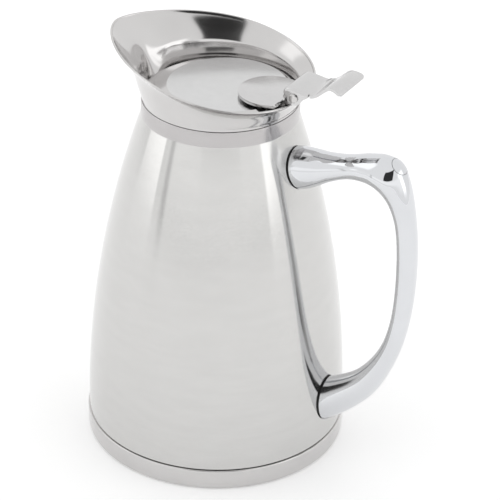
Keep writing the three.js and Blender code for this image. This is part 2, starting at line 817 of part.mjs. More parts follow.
// Threaded boss welded to the shell, inside the casting's upper end
function upperBoss() {
  const boss = rodAlong(armFrame, bossRadius, -sheet, bossLength);
  return boss.subtract(bodyBlank(pressGap)).subtract(rodAlong(armFrame, screwRadius + screwPlay, -sheet, farOut));
}

// Locating lug welded to the shell, inside the casting's foot
function lowerBoss() {
  return rodAlong(footFrame, lugRadius, -sheet, lugLength).subtract(bodyBlank(pressGap));
}

// Handle screw and its washer, along +X of the arm's frame
const headSeat = screwSeat + washerHeight + pressGap;

function handleScrew() {
  const tip = sheet + seatGap;
  const headTop = headSeat + screwHeadHeight;
  const socket = new THREE.CylinderGeometry(hexSocketRadius, hexSocketRadius, 2 * hexSocketDepth, 6);
  socket.rotateX(Math.PI / 2).translate(0, 0, headTop).rotateY(Math.PI / 2);
  const profile = [
    [0, tip],
    [screwRadius, tip],
    [screwRadius, headSeat],
    [screwHeadRadius, headSeat],
    [screwHeadRadius, headTop],
    [0, headTop],
  ];
  return solidOf(revolve(profile, smallTurns).rotateY(Math.PI / 2)).subtract(solidOf(socket));
}

function screwWasher() {
  const bottom = screwSeat + pressGap / 2;
  const top = bottom + washerHeight;
  const inside = screwRadius + pressGap;
  const profile = [[inside, bottom], [screwHeadRadius, bottom], [screwHeadRadius, top], [inside, top]];
  return solidOf(ring(profile, smallTurns).rotateY(Math.PI / 2));
}

const fasteners = new THREE.Group();
fasteners.applyMatrix4(armFrame);
fasteners.add(
  part("handle_screw", handleScrew(), "plainSteel"),
  part("screw_washer", screwWasher(), "plainSteel"),
);

const jug = new THREE.Group();
jug.add(
  part("base_cap", baseCap(), "polishedSteel"),
  part("outer_shell", outerShell(), "satinSteel"),
  part("jacket_bottom", jacketBottom(), "plainSteel"),
  part("vacuum_seal_plug", vacuumSealPlug(), "plainSteel"),
  part("getter", getter(), "plainSteel"),
  part("inner_liner", innerLiner(), "plainSteel"),
  part("spout_collar", spoutCollar(), "polishedSteel"),
  part("hinge_bracket", hingeBracket(), "polishedSteel"),
  part("handle", handle(), "chrome"),
  part("handle_plug", handlePlug(), "chrome"),
  part("upper_gasket", gasket(armFrame, 2 * armEndRadius, bossRadius), "blackRubber"),
  part("lower_gasket", gasket(footFrame, 2 * footDepth, lugRadius), "blackRubber"),
  part("upper_boss", upperBoss(), "plainSteel"),
  part("lower_boss", lowerBoss(), "plainSteel"),
  fasteners,
);

const lid = new THREE.Group();
lid.add(
  part("lid_plate", lidPlate(), "satinSteel"),
  part("lid_underpan", lidUnderpan(), "plainSteel"),
  part("lid_insulation", lidInsulation(), "paleFoam"),
  part("lever_standoff", leverStandoff(), "plainSteel"),
  part("thumb_lever", thumbLever(), "satinSteel"),
  part("hinge_pin", hingePin(), "polishedSteel"),
);

const server = new THREE.Group();
server.name = "insulated_milk_server";
server.add(jug, lid);

export default server;
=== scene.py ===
import math

import bmesh
import bpy
from mathutils import Matrix, Vector
from mathutils.geometry import interpolate_bezier


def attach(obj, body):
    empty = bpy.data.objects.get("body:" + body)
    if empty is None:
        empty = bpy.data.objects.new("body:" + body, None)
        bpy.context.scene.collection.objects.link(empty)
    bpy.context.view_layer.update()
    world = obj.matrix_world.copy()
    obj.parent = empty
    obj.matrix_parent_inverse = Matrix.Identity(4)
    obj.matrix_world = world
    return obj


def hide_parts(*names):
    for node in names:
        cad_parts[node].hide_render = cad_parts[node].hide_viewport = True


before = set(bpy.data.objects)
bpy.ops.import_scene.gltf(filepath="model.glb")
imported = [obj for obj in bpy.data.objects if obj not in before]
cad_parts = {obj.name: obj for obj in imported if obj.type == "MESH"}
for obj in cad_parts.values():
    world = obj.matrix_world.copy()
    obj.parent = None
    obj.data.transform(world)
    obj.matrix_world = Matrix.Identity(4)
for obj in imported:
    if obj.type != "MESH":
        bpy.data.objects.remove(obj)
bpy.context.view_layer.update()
print("frame loaded:", len(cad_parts), "nodes")

mm = 0.001  # pieces are shaped in millimetres and scaled at the end
scene = bpy.context.scene
scene.view_settings.view_transform = "Standard"


# shader helpers: a node with its values, and a link by socket names
def addNode(tree, kind, values=None, **settings):
    node = tree.nodes.new(kind)
    for key, value in settings.items():
        setattr(node, key, value)
    for key, value in (values or {}).items():
        node.inputs[key].default_value = value
    return node


def mathNode(tree, operation, first, second=None, clamp=False):
    node = addNode(tree, "ShaderNodeMath", operation=operation, use_clamp=clamp)
    for place, source in enumerate((first, second)):
        if isinstance(source, bpy.types.NodeSocket):
            tree.links.new(source, node.inputs[place])
        elif source is not None:
            node.inputs[place].default_value = source
    return node.outputs[0]


def newGroup(name, inputs, outputs):
    group = bpy.data.node_groups.new(name, "ShaderNodeTree")
    for label, value in inputs.items():
        socket = group.interface.new_socket(label, in_out="INPUT", socket_type="NodeSocketFloat")
        socket.default_value = value
    for label in outputs:
        group.interface.new_socket(label, in_out="OUTPUT", socket_type="NodeSocketFloat")
    return group, group.nodes.new("NodeGroupInput"), group.nodes.new("NodeGroupOutput")


# brushing left by turning: fine lines round an upright axis, on walls and on flats alike
def makeTurnedBrushing():
    inputs = {"Centre X": 0, "Lines": 2600, "Stretch": 26}
    group, start, end = newGroup("turnedBrushing", inputs, ["Grain", "Bands"])
    place = addNode(group, "ShaderNodeTexCoord")
    axes = addNode(group, "ShaderNodeSeparateXYZ")
    group.links.new(place.outputs["Object"], axes.inputs[0])
    x = mathNode(group, "SUBTRACT", axes.outputs["X"], start.outputs["Centre X"])
    y = axes.outputs["Y"]
    squares = mathNode(group, "ADD", mathNode(group, "MULTIPLY", x, x), mathNode(group, "MULTIPLY", y, y))
    radius = mathNode(group, "SQRT", mathNode(group, "ADD", squares, 1e-9))
    reach = mathNode(group, "ADD", axes.outputs["Z"], radius)
    across = mathNode(group, "MULTIPLY", reach, start.outputs["Lines"])
    turned = addNode(group, "ShaderNodeCombineXYZ")
    for label, source in (("X", x), ("Y", y)):
        unit = mathNode(group, "DIVIDE", source, radius)
        group.links.new(mathNode(group, "MULTIPLY", unit, start.outputs["Stretch"]), turned.inputs[label])
    group.links.new(across, turned.inputs["Z"])
    fine = addNode(group, "ShaderNodeTexNoise", {"Scale": 1.0, "Detail": 3.0, "Roughness": 0.65})
    group.links.new(turned.outputs[0], fine.inputs["Vector"])
    wide = addNode(group, "ShaderNodeTexNoise", {"Scale": 0.11, "Detail": 2.0, "Roughness": 0.5})
    group.links.new(turned.outputs[0], wide.inputs["Vector"])
    group.links.new(fine.outputs["Fac"], end.inputs["Grain"])
    group.links.new(wide.outputs["Fac"], end.inputs["Bands"])
    return group


# marks of handling and polishing: soft clouds, and a faint unevenness of the surface
def makeHandlingMarks():
    group, start, end = newGroup("handlingMarks", {"Size": 45, "Ripple": 160}, ["Clouds", "Waves"])
    place = addNode(group, "ShaderNodeTexCoord")
    for label, size, detail in (("Clouds", "Size", 5.0), ("Waves", "Ripple", 1.0)):
        noise = addNode(group, "ShaderNodeTexNoise", {"Detail": detail, "Roughness": 0.55})
        group.links.new(place.outputs["Object"], noise.inputs["Vector"])
        group.links.new(start.outputs[size], noise.inputs["Scale"])
        group.links.new(noise.outputs["Fac"], end.inputs[label])
    return group


turnedBrushing = makeTurnedBrushing()
handlingMarks = makeHandlingMarks()


def placeGroup(tree, group, values):
    node = addNode(tree, "ShaderNodeGroup", node_tree=group)
    for label, value in values.items():
        node.inputs[label].default_value = value
    return node


def spread(tree, source, low, high):
    values = {"From Min": 0.25, "From Max": 0.75, "To Min": low, "To Max": high}  # noise keeps near its middle
    node = addNode(tree, "ShaderNodeMapRange", values)
    tree.links.new(source, node.inputs["Value"])
    return node.outputs["Result"]


def newMaterial(name, metallic):
    material = bpy.data.materials.new(name)
    material.use_nodes = True
    tree = material.node_tree
    shader = tree.nodes["Principled BSDF"]
    shader.inputs["Metallic"].default_value = metallic
    return material, tree, shader


def colourBetween(tree, source, dark, light):
    mix = addNode(tree, "ShaderNodeMix", data_type="RGBA")
    mix.inputs["A"].default_value = (*dark, 1)
    mix.inputs["B"].default_value = (*light, 1)
    tree.links.new(source, mix.inputs["Factor"])
    return mix.outputs["Result"]


def linkColour(tree, shader, source, finish):
    colour = colourBetween(tree, spread(tree, source, 0, 1), finish["dark"], finish["light"])
    tree.links.new(colour, shader.inputs["Base Color"])


def bumpFrom(tree, shader, source, strength, distance):
    bump = addNode(tree, "ShaderNodeBump", {"Strength": strength, "Distance": distance})
    tree.links.new(source, bump.inputs["Height"])
    tree.links.new(bump.outputs["Normal"], shader.inputs["Normal"])


# steel with turned brushing
brushingSizes = {"grainShare": 0.6, "bandShare": 0.4, "bumpDepth": 0.00002, "streakTurn": 0.25}


def brushedSteel(name, finish):
    s = brushingSizes
    material, tree, shader = newMaterial(name, 1)
    brushing = placeGroup(tree, turnedBrushing, finish["brushing"])
    marks = placeGroup(tree, handlingMarks, finish["marks"])
    grain, bands, clouds = brushing.outputs["Grain"], brushing.outputs["Bands"], marks.outputs["Clouds"]
    fine = mathNode(tree, "MULTIPLY", grain, s["grainShare"])
    wide = mathNode(tree, "MULTIPLY", bands, s["bandShare"])
    linkColour(tree, shader, mathNode(tree, "ADD", fine, wide), finish)
    lined = spread(tree, grain, *finish["rough"])
    rough = mathNode(tree, "ADD", lined, spread(tree, clouds, 0, finish["smudge"]))
    tree.links.new(rough, shader.inputs["Roughness"])
    bumpFrom(tree, shader, grain, finish["bump"], s["bumpDepth"])
    shader.inputs["Anisotropic"].default_value = finish["streak"]
    shader.inputs["Anisotropic Rotation"].default_value = s["streakTurn"]  # light is drawn out across the lines
    return material


# stuff with the marks of handling alone: mirror-polished metal, matt rubber and filling
def markedStuff(name, metallic, finish):
    material, tree, shader = newMaterial(name, metallic)
    marks = placeGroup(tree, handlingMarks, finish["marks"])
    clouds = marks.outputs["Clouds"]
    linkColour(tree, shader, clouds, finish)
    tree.links.new(spread(tree, clouds, *finish["rough"]), shader.inputs["Roughness"])
    bumpFrom(tree, shader, marks.outputs["Waves"], finish["bump"], finish["bumpDepth"])
    return material


satinSteel = brushedSteel("satinSteel", {
    "dark": (0.585, 0.58, 0.57), "light": (0.64, 0.635, 0.625),
    "rough": (0.1, 0.135), "smudge": 0.015, "bump": 0.012, "streak": 0.94,
    "brushing": {"Centre X": 0, "Lines": 2600, "Stretch": 26}, "marks": {"Size": 38, "Ripple": 160},
})
neckSteel = brushedSteel("neckSteel", {
    "dark": (0.49, 0.475, 0.475), "light": (0.555, 0.54, 0.54),
    "rough": (0.17, 0.22), "smudge": 0.03, "bump": 0.02, "streak": 0.9,
    "brushing": {"Centre X": 0, "Lines": 2600, "Stretch": 26}, "marks": {"Size": 38, "Ripple": 160},
})
lidSteel = brushedSteel("lidSteel", {
    "dark": (0.62, 0.62, 0.62), "light": (0.70, 0.70, 0.70),
    "rough": (0.14, 0.2), "smudge": 0.04, "bump": 0.12, "streak": 0,
    "brushing": {"Centre X": 0.001, "Lines": 3000, "Stretch": 22}, "marks": {"Size": 60, "Ripple": 160},
})
leverSteel = brushedSteel("leverSteel", {
    "dark": (0.59, 0.585, 0.585), "light": (0.67, 0.665, 0.665),
    "rough": (0.12, 0.2), "smudge": 0.05, "bump": 0.06, "streak": 0,
    "brushing": {"Centre X": 0.0236, "Lines": 3000, "Stretch": 22}, "marks": {"Size": 70, "Ripple": 160},
})
plainSteel = brushedSteel("plainSteel", {
    "dark": (0.42, 0.42, 0.42), "light": (0.55, 0.55, 0.55),
    "rough": (0.28, 0.4), "smudge": 0.06, "bump": 0.2, "streak": 0,
    "brushing": {"Centre X": 0, "Lines": 1800, "Stretch": 18}, "marks": {"Size": 50, "Ripple": 160},
})
polishedSteel = markedStuff("polishedSteel", 1, {
    "dark": (0.585, 0.575, 0.57), "light": (0.64, 0.63, 0.625),
    "rough": (0.11, 0.16), "bump": 0.03, "bumpDepth": 0.00005,
    "marks": {"Size": 55, "Ripple": 120},
})
chrome = markedStuff("chrome", 1, {
    "dark": (0.675, 0.685, 0.705), "light": (0.715, 0.725, 0.745),
    "rough": (0.015, 0.04), "bump": 0.03, "bumpDepth": 0.00005,
    "marks": {"Size": 50, "Ripple": 90},
})
blackRubber = markedStuff("blackRubber", 0, {
    "dark": (0.006, 0.006, 0.007), "light": (0.014, 0.014, 0.015),
    "rough": (0.5, 0.65), "bump": 0.3, "bumpDepth": 0.0001,
    "marks": {"Size": 260, "Ripple": 1500},
})
paleFoam = markedStuff("paleFoam", 0, {
    "dark": (0.60, 0.59, 0.55), "light": (0.74, 0.73, 0.69),
    "rough": (0.75, 0.9), "bump": 0.6, "bumpDepth": 0.0001,
    "marks": {"Size": 180, "Ripple": 900},
})
print("materials made:", len(bpy.data.materials))


# shape helpers, all in millimetres
def arcPoints(x, z, radius, fromDegrees, toDegrees, steps):
    turns = [math.radians(fromDegrees + (toDegrees - fromDegrees) * i / steps) for i in range(steps + 1)]
    return [(x + radius * math.cos(turn), z + radius * math.sin(turn)) for turn in turns]


def bezierPoints(a, b, c, d, count):
    flat = [Vector((*p, 0)) if len(p) == 2 else Vector(p) for p in (a, b, c, d)]
    points = interpolate_bezier(*flat, count)
    return [(p.x, p.y) for p in points] if len(a) == 2 else points


# a line through corners given as (r, z, rounding)
def roundedLine(corners, steps=5):
    points = []
    for i, (x, z, rounding) in enumerate(corners):
        here = Vector((x, z))
        if not rounding or i in (0, len(corners) - 1):
            points.append((x, z))
            continue
        before = Vector(corners[i - 1][:2]) - here
        after = Vector(corners[i + 1][:2]) - here
        reach = rounding / math.tan(before.angle(after) / 2)
        first = here + before.normalized() * min(reach, 0.48 * before.length)
        last = here + after.normalized() * min(reach, 0.48 * after.length)
        for k in range(steps + 1):
            t = k / steps
            point = first * (1 - t) ** 2 + here * (2 * t * (1 - t)) + last * t ** 2
            points.append((point.x, point.y))
    return points


# a profile of (r, z) points spun right round an upright axis at x = centre
def spun(profile, steps=192, centre=0, closed=False):
    bm = bmesh.new()
    verts = [bm.verts.new((centre + r, 0, z)) for r, z in profile]
    edges = [bm.edges.new(pair) for pair in zip(verts, verts[1:])]
    if closed:
        edges.append(bm.edges.new((verts[-1], verts[0])))
    bmesh.ops.spin(bm, geom=verts + edges, cent=(centre, 0, 0), axis=(0, 0, 1), angle=2 * math.pi,
                   steps=steps, use_merge=True)
    bmesh.ops.remove_doubles(bm, verts=bm.verts, dist=1e-4)
    bmesh.ops.recalc_face_normals(bm, faces=bm.faces)
    return bm


# the bmesh becomes a piece that rides its body in place of its CAD node
def makePiece(name, bm, node, body, materials, sharpDegrees=32):
    bmesh.ops.scale(bm, vec=(mm, mm, mm), verts=bm.verts)
    mesh = bpy.data.meshes.new(name)
    bm.to_mesh(mesh)
    bm.free()
    for material in materials:
        mesh.materials.append(material)
    mesh.shade_smooth()
    mesh.set_sharp_from_angle(angle=math.radians(sharpDegrees))
    piece = bpy.data.objects.new(name, mesh)
    scene.collection.objects.link(piece)
    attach(piece, body)
    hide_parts(node)
    print("piece:", name, len(mesh.polygons), "faces")
    return piece


# a round bar between two points, which cuts once and is then removed
def cutBar(radius, start, end):
    span = end - start
    bm = bmesh.new()
    bmesh.ops.create_cone(bm, cap_ends=True, segments=96, radius1=radius, radius2=radius, depth=span.length)
    bmesh.ops.rotate(bm, cent=(0, 0, 0), matrix=span.to_track_quat("Z", "Y").to_matrix(), verts=bm.verts)
    bmesh.ops.translate(bm, vec=(start + end) / 2, verts=bm.verts)
    bmesh.ops.scale(bm, vec=(mm, mm, mm), verts=bm.verts)
    mesh = bpy.data.meshes.new("cutBar")
    bm.to_mesh(mesh)
    bm.free()
    bar = bpy.data.objects.new("cutBar", mesh)
    scene.collection.objects.link(bar)
    return bar


def cutPiece(piece, bar, operation="DIFFERENCE", sharpDegrees=32):
    cut = piece.modifiers.new("cut", "BOOLEAN")
    cut.operation = operation
    cut.object = bar
    cut.solver = "EXACT"
    bpy.context.view_layer.update()
    evaluated = piece.evaluated_get(bpy.context.evaluated_depsgraph_get())
    mesh = bpy.data.meshes.new_from_object(evaluated)
    piece.modifiers.clear()
    old = piece.data
    piece.data = mesh
    bpy.data.meshes.remove(old)
    bpy.data.objects.remove(bar)
    piece.data.shade_smooth()
    piece.data.set_sharp_from_angle(angle=math.radians(sharpDegrees))


# jug shell: foot bead, one long arc, neck band
shellSizes = {
    "radius": 55, "curveStart": 13.6, "neckStart": 150.4, "neckRadius": 32.7, "neckTop": 157.2,
    "foot": 9.6, "bead": 0.5, "sheet": 1, "wallSteps": 64, "creaseShare": 0.9965, "creaseRise": 0.6,
}
wallSweep = 2 * math.atan((shellSizes["radius"] - shellSizes["neckRadius"])
                          / (shellSizes["neckStart"] - shellSizes["curveStart"]))
wallArc = (shellSizes["neckStart"] - shellSizes["curveStart"]) / math.sin(wallSweep)
wallCentre = shellSizes["radius"] - wallArc


def wallLine(offset, fromTurn, toTurn, steps):
    return arcPoints(wallCentre, shellSizes["curveStart"], wallArc + offset,
                     math.degrees(fromTurn), math.degrees(toTurn), steps)


def wallRadius(z):
    rise = min(max(0, z - shellSizes["curveStart"]), shellSizes["neckStart"] - shellSizes["curveStart"])
    return wallCentre + math.sqrt(wallArc ** 2 - rise ** 2)


def makeShell():
    s = shellSizes
    foot = [(s["radius"] - s["sheet"], s["foot"])]
    foot += arcPoints(s["radius"] - s["bead"], s["foot"] + s["bead"], s["bead"], -90, 0, 8)
    wall = wallLine(0, 0, s["creaseShare"] * wallSweep, s["wallSteps"])
    inside = s["neckRadius"] - s["sheet"]
    corner = (s["neckRadius"], s["neckStart"])
    crease = bezierPoints(wall[-1], corner, corner, (s["neckRadius"], s["neckStart"] + s["creaseRise"]), 7)
    top = roundedLine([(s["neckRadius"], s["neckTop"] - 2, 0), (s["neckRadius"], s["neckTop"], 0.3),
                       (inside, s["neckTop"], 0.3), (inside, s["neckTop"] - 2, 0)], 3)
    lining = wallLine(-s["sheet"], wallSweep, 0, 24)
    bm = spun(foot + wall + crease[1:] + top + lining, closed=True)
    for face in bm.faces:
        face.material_index = 1 if face.calc_center_median().z > s["neckStart"] else 0
    return bm


makePiece("jug_shell", makeShell(), "outer_shell", "jug", [satinSteel, neckSteel])

# foot cup: rounded edge, shoulder, and an upstand inside the shell
footSizes = {
    "corners": [
        (0, 0, 0), (27.7, 0, 0.6), (28.5, 0.8, 0.6), (33.5, 0.8, 0.6), (34.3, 0, 0.6), (55.6, 0, 2.5),
        (55.6, 9.4, 0.55), (53.7, 9.4, 0), (53.7, 15, 0), (52.7, 15, 0), (52.7, 8.4, 0), (54.6, 8.4, 0.9),
        (54.6, 1, 1.5), (34.3, 1, 0), (33.5, 1.8, 0), (28.5, 1.8, 0), (27.7, 1, 0), (0, 1, 0),
    ],
}
makePiece("foot_cup", spun(roundedLine(footSizes["corners"], 7)), "base_cap", "jug",
          [polishedSteel])

# liner: domed floor, long wall at the vacuum's width from the shell, neck and lip
linerSizes = {
    "inset": 5.5, "wall": 0.9, "floor": 22.8, "corner": 12, "dome": 3, "neck": 31.4,
    "lipBottom": 157.4, "lipTop": 157.9, "lipWidth": 0.5,
}


def linerLine(depth):
    s = linerSizes
    offset = -(s["inset"] + depth)
    first = math.asin((s["floor"] + s["corner"] - shellSizes["curveStart"]) / (wallArc + offset))
    last = math.acos((s["neck"] - depth - wallCentre) / (wallArc + offset))
    wall = wallLine(offset, first, last, 40)
    cornerX = wall[0][0] - s["corner"] + depth
    corner = arcPoints(cornerX, s["floor"] + s["corner"], s["corner"] - depth, -90, -8, 12)
    floor = [(cornerX * i / 8, s["floor"] + depth + s["dome"] * (1 - (i / 8) ** 2)) for i in range(8)]
    return floor + corner + wall


def makeLiner():
    s = linerSizes
    lip = [(s["neck"], s["lipBottom"]), (s["neck"] + s["lipWidth"], s["lipBottom"]),
           (s["neck"] + s["lipWidth"], s["lipTop"]), (s["neck"] - s["wall"], s["lipTop"])]
    return spun(linerLine(0) + lip + linerLine(s["wall"])[::-1], steps=128)


makePiece("liner", makeLiner(), "inner_liner", "jug", [plainSteel])

# pouring collar: its rim is an egg in plan, low at the back and high at the spout
collarSizes = {
    "radius": 32.4, "foot": 158.1, "skirt": (32.0, 157.4), "ledge": 159.1, "ledgeOutside": 31.4,
    "ledgeInside": 28.4,
    "spigotOutside": 30.2, "spigotInside": 29.4, "spigotEnd": 151.1, "sheet": 1,
    "back": (38.3, 0, 166.8), "side": (0, 38.4, 173.7), "tip": (-50.5, 0, 179.6),
    "backRound": 22.1, "sideRound": 27, "tipRound": 11.5, "sideSlope": 0.18, "stations": 44, "flareSteps": 22,
    "lowPull": (0.3, 0.35), "highPull": (0.3, 0.77),
    "kneeRise": 0.46, "throatLean": 0.2, "kneeLean": 0.45, "rimLean": 0.88, "kneeFrom": (18, 45),
    "kneeTo": (158, 180),
}


def collarRim():
    s = collarSizes
    back, side, tip = (Vector(s[key]) for key in ("back", "side", "tip"))
    along = Vector((1, 0, -s["sideSlope"]))
    count = s["stations"] + 1
    rear = interpolate_bezier(back, back + Vector((0, s["backRound"], 0)), side + along * s["backRound"], side, count)
    front = interpolate_bezier(side, side - along * s["sideRound"], tip + Vector((0, s["tipRound"], 0)), tip, count)
    half = rear + front[1:]
    return half + [Vector((p.x, -p.y, p.z)) for p in half[-2:0:-1]]


# the collar's wall in section, as a plain flare
def flareLine(fromPoint, toPoint):
    s = collarSizes
    start, end = Vector(fromPoint), Vector(toPoint)
    span = end - start
    low, high = (start + Vector((span.x * out, span.y * up)) for out, up in (s["lowPull"], s["highPull"]))
    return bezierPoints(tuple(start), tuple(low), tuple(high), tuple(end), s["flareSteps"])


# the wall's inside, which goes over by a share from the flare to an upright throat with a knee
def throatLine(fromPoint, toPoint, share):
    s = collarSizes
    start, end = Vector(fromPoint), Vector(toPoint)
    rise = s["kneeRise"] * (end.y - start.y)
    knee = start + Vector((s["throatLean"], 1)) * rise
    pull = (end.y - knee.y) / 3
    low, high = knee + Vector((s["kneeLean"], 1)) * pull, end - Vector((s["rimLean"], 1)) * pull
    steps = s["flareSteps"] // 3
    line = [tuple(start.lerp(knee, i / steps)) for i in range(steps)]
    line += bezierPoints(*(tuple(p) for p in (knee, low, high, end)), s["flareSteps"] - steps)
    return [tuple(Vector(a).lerp(Vector(b), share)) for a, b in zip(flareLine(fromPoint, toPoint), line)]


# none at the hinge's back and at the spout's tip, all between
def kneeShare(degrees):
    def ease(ends):
        t = min(1, max(0, (degrees - ends[0]) / (ends[1] - ends[0])))
        return t * t * (3 - 2 * t)

    return ease(collarSizes["kneeFrom"]) * (1 - ease(collarSizes["kneeTo"]))


def collarSection(radius, height, degrees):
    s = collarSizes
    half = s["sheet"] / 2
    skirtInside, skirtFoot = s["skirt"]
    outside = [(skirtInside, s["foot"]), (skirtInside, skirtFoot), (s["radius"], skirtFoot)]
    outside += flareLine((s["radius"], s["foot"]), (radius, height - half))
    edge = arcPoints(radius - half, height - half, half, 22, 158, 5)
    ledge, rim = (s["ledgeOutside"], s["ledge"]), (radius - s["sheet"], height - half)
    inside = throatLine(ledge, rim, kneeShare(degrees))[::-1]
    seat = [
        (s["ledgeInside"], s["ledge"]), (s["ledgeInside"], s["foot"]), (s["spigotInside"], s["foot"]),
        (s["spigotInside"], s["spigotEnd"]), (s["spigotOutside"], s["spigotEnd"]), (s["spigotOutside"], s["foot"]),
    ]
    return outside + edge + inside + seat


# one section is spun, and every copy is then drawn out to its own point of the rim
def makeCollar():
    rim = collarRim()
    count = len(rim)
    turns = [math.atan2(p.y, p.x) for p in rim]
    sections = [collarSection(math.hypot(p.x, p.y), p.z, math.degrees(abs(turn))) for p, turn in zip(rim, turns)]
    bm = bmesh.new()
    order = bm.verts.layers.int.new("order")
    verts = [bm.verts.new((r, 0, z)) for r, z in sections[0]]
    for i, vert in enumerate(verts):
        vert[order] = i
    edges = [bm.edges.new((verts[i - 1], verts[i])) for i in range(len(verts))]
    bmesh.ops.spin(bm, geom=verts + edges, cent=(0, 0, 0), axis=(0, 0, 1), angle=2 * math.pi, steps=count,
                   use_merge=True)
    for vert in bm.verts:
        station = round(math.atan2(vert.co.y, vert.co.x) / (2 * math.pi) * count) % count
        r, z = sections[station][vert[order]]
        vert.co = (r * math.cos(turns[station]), r * math.sin(turns[station]), z)
    bmesh.ops.recalc_face_normals(bm, faces=bm.faces)
    return bm


makePiece("pouring_collar", makeCollar(), "spout_collar", "jug", [polishedSteel])

# lid: flat top, set towards the hinge, with a bevel and a flange, over a pan
lidSizes = {
    "centre": 1, "flat": 24.9, "shift": 2.2, "wall": 28.4, "inside": 161.2, "flatEdge": 0.3,
    "corners": [
        (0, 162.6, 0), (24.4, 162.6, 0), (27.4, 161.1, 0), (27.4, 159.4, 0), (30.25, 159.4, 0.2),
        (30.25, 160.4, 0.3), (28.4, 160.4, 0.35), (28.4, 161.6, 0.3), (24.9, 163.6, 0.5), (0, 163.6, 0),
    ],
}
panSizes = {
    "corners": [
        (0, 153.1, 0), (24.6, 153.1, 1.5), (26.6, 159.1, 0.6), (27.1, 159.9, 0.4), (27.1, 160.8, 0),
        (26.3, 160.8, 0), (26.3, 159.9, 0), (25.8, 159.1, 0), (23.8, 153.9, 0), (0, 153.9, 0),
    ],
}


def makeLid():
    s = lidSizes
    bm = spun(roundedLine(s["corners"], 4), centre=s["centre"])
    for vert in bm.verts:
        if vert.co.z > s["inside"]:
            radius = math.hypot(vert.co.x - s["centre"], vert.co.y)
            vert.co.x += s["shift"] * min(1, max(0, (s["wall"] - radius) / (s["wall"] - s["flat"])))
    for face in bm.faces:
        middle = face.calc_center_median()
        outer = math.hypot(middle.x - s["centre"] - s["shift"], middle.y) > s["flat"] - s["flatEdge"]
        face.material_index = 1 if outer or middle.z < s["inside"] else 0
    return bm


makePiece("lid_plate_fine", makeLid(), "lid_plate", "lid", [lidSteel, polishedSteel])
makePiece("lid_pan", spun(roundedLine(panSizes["corners"], 5), steps=128, centre=lidSizes["centre"]),
          "lid_underpan", "lid", [plainSteel])

# spacer between the lid and the lever's pad
spacerSizes = {"centre": 20.6, "outline": [(0, 163.62), (6, 163.62), (6, 164.78), (0, 164.78)]}
makePiece("lever_spacer", spun(spacerSizes["outline"], steps=64, centre=spacerSizes["centre"]),
          "lever_standoff", "lid", [plainSteel])

# thumb lever: half of the sheet's middle, cut across where it bends, with its ear folded down
leverSizes = {
    "pin": (38.7, 170.5), "pad": (23.6, 13.6), "padLevel": 165.4, "bridgeLevel": 173.8,
    "bend": (30.5, 36.06), "valley": (45.7, 172.9), "crest": (55.34, 178.7), "end": (59.5, 176.84),
    "padCorner": ((28.9, 12.52), (31.2, 11.83), (31.9, 9.25)), "notch": (33.3, 7.2, 1.0),
    "fold": (34.3, 44.9, 8.7), "foldRound": 0.9, "foldTurns": (22.5, 45, 67.5, 90),
    "barSide": ((45.7, 9.25), (53.5, 9.3), (53.9, 9.05), (58.6, 10.3)), "barEnd": 9.3,
    "earRows": (0.3, -0.3, -0.7, -1.07, -1.5, -1.95, -2.35, -2.7, -2.95, -3.1, -3.18), "earRadius": 3.2,
    "earLeft": (-4.4, 2.82, -3.01, -1.07), "earRight": (6.2, 2.82, 2.54, -1.95),
    "sheet": 1.2, "edge": 0.22,
}


def leverPath():
    s = leverSizes
    (x0, x1), low, high = s["bend"], s["padLevel"], s["bridgeLevel"]
    half = (x1 - x0) / 2
    pinX = s["pin"][0]
    (vx, vz), (cx, cz), (ex, ez) = s["valley"], s["crest"], s["end"]
    pieces = [
        ((x0, low), (x0 + 1.1 * half, low), (x1 - 1.1 * half, high), (x1, high)),
        ((x1, high), (pinX + 0.2 * (vx - pinX), high), (pinX + 0.5 * (vx - pinX), vz), (vx, vz)),
        ((vx, vz), (vx + 0.4 * (cx - vx), vz), (vx + 0.68 * (cx - vx), cz), (cx, cz)),
        ((cx, cz), (cx + 0.5 * (ex - cx), cz), (ex - 0.1, (cz + ez) / 2), (ex, ez)),
    ]
    points = [(s["pad"][0] - s["pad"][1] - 1, low)]
    for piece in pieces:
        points += bezierPoints(*piece, 18)
    return points


def leverHeight(path, x):
    for (x0, z0), (x1, z1) in zip(path, path[1:]):
        if x <= x1:
            return z0 if x1 - x0 < 1e-9 else z0 + (z1 - z0) * max(0, x - x0) / (x1 - x0)
    return path[-1][1]


def earBounds(rise):
    s = leverSizes
    bounds = []
    for sign, (topX, topZ, lowX, lowZ) in ((-1, s["earLeft"]), (1, s["earRight"])):
        if rise > lowZ:
            bounds.append(lowX + (topX - lowX) * (rise - lowZ) / (topZ - lowZ))
        else:
            bounds.append(sign * math.sqrt(s["earRadius"] ** 2 - rise ** 2))
    return bounds


